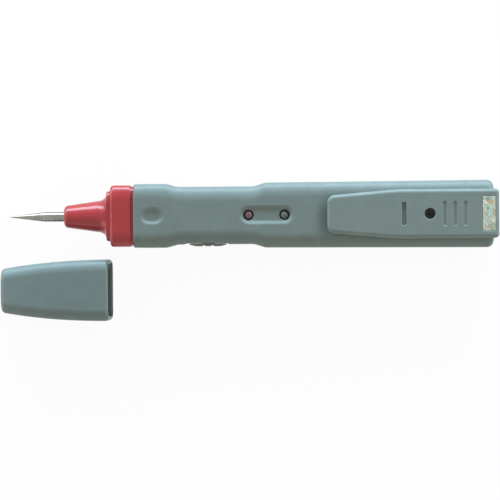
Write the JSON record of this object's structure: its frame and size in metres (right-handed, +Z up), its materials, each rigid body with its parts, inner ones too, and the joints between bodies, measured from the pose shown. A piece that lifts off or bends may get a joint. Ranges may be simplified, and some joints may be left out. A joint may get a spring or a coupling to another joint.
{
  "type": "voltage tester",
  "caption": "Pen voltage tester: steel needle probe, red nose, grey casing with red and green lamps, side switch, battery cover with pocket clip, and push-on cap lying beside it.",
  "frame": {"origin": "on the flat back of the casing, in the middle of its length and width", "axes": "+X from the probe to the clip end, +Y across away from the switch, +Z up from the flat back to the lamps and the clip"},
  "size_m": [0.1536, 0.0426, 0.0162],
  "materials": {
    "casing_grey": "fine matt moulded plastic, blue-grey",
    "nose_red": "glossy moulded plastic, red",
    "needle_steel": "ground and polished steel",
    "contact_brass": "bare brass",
    "spring_steel": "plated wire and sheet",
    "board_green": "solder mask",
    "part_black": "moulded epoxy",
    "resistor_tan": "lacquer",
    "capacitor_brown": "dipped ceramic",
    "lamp_red": "tinted clear epoxy, unlit",
    "lamp_green": "tinted clear epoxy, unlit",
    "cell_steel": "plated steel can",
    "label_foil": "rainbow embossed foil",
    "screw_steel": "plated screws"
  },
  "bodies": {
    "casing": {"upper_shell": "casing_grey", "lower_shell": "casing_grey", "nose_cone": "nose_red", "probe_pin": "needle_steel", "pin_ferrule": "contact_brass", "contact_spring": "spring_steel", "contact_tab": "contact_brass", "circuit_board": "board_green", "ic_chip": "part_black", "transistor": "part_black", "input_resistors": "resistor_tan", "chip_resistors": "part_black", "ceramic_capacitor": "capacitor_brown", "led_red": "lamp_red", "led_green": "lamp_green", "switch_housing": "spring_steel", "buzzer": "part_black", "cell_front": "cell_steel", "cell_rear": "cell_steel", "battery_spring": "spring_steel", "negative_contact": "contact_brass", "positive_contact": "contact_brass", "shell_screws": "screw_steel"},
    "slide_knob": {"switch_knob": "casing_grey"},
    "cover": {"battery_cover": "casing_grey", "foil_label": "label_foil"},
    "clip": {"pocket_clip": "casing_grey"},
    "push_cap": {"cap": "casing_grey"}
  },
  "joints": [
    {"name": "switch_slide", "type": "slide", "parent": "casing", "child": "slide_knob", "axis": [-1, 0, 0], "range_m": [0, 0.0018]},
    {"name": "cover_slide", "type": "slide", "parent": "casing", "child": "cover", "axis": [1, 0, 0], "range_m": [0, 0.025]},
    {"name": "clip_flex", "type": "hinge", "parent": "cover", "child": "clip", "pos_m": [0.0254, 0, 0.01545], "axis": [0, 1, 0], "range_deg": [0, 7], "stiffness_Nm_per_rad": 0.2},
    {"name": "cap_pull", "type": "slide", "parent": "casing", "child": "push_cap", "axis": [-1, 0, 0], "range_m": [0, 0.033]}
  ]
}
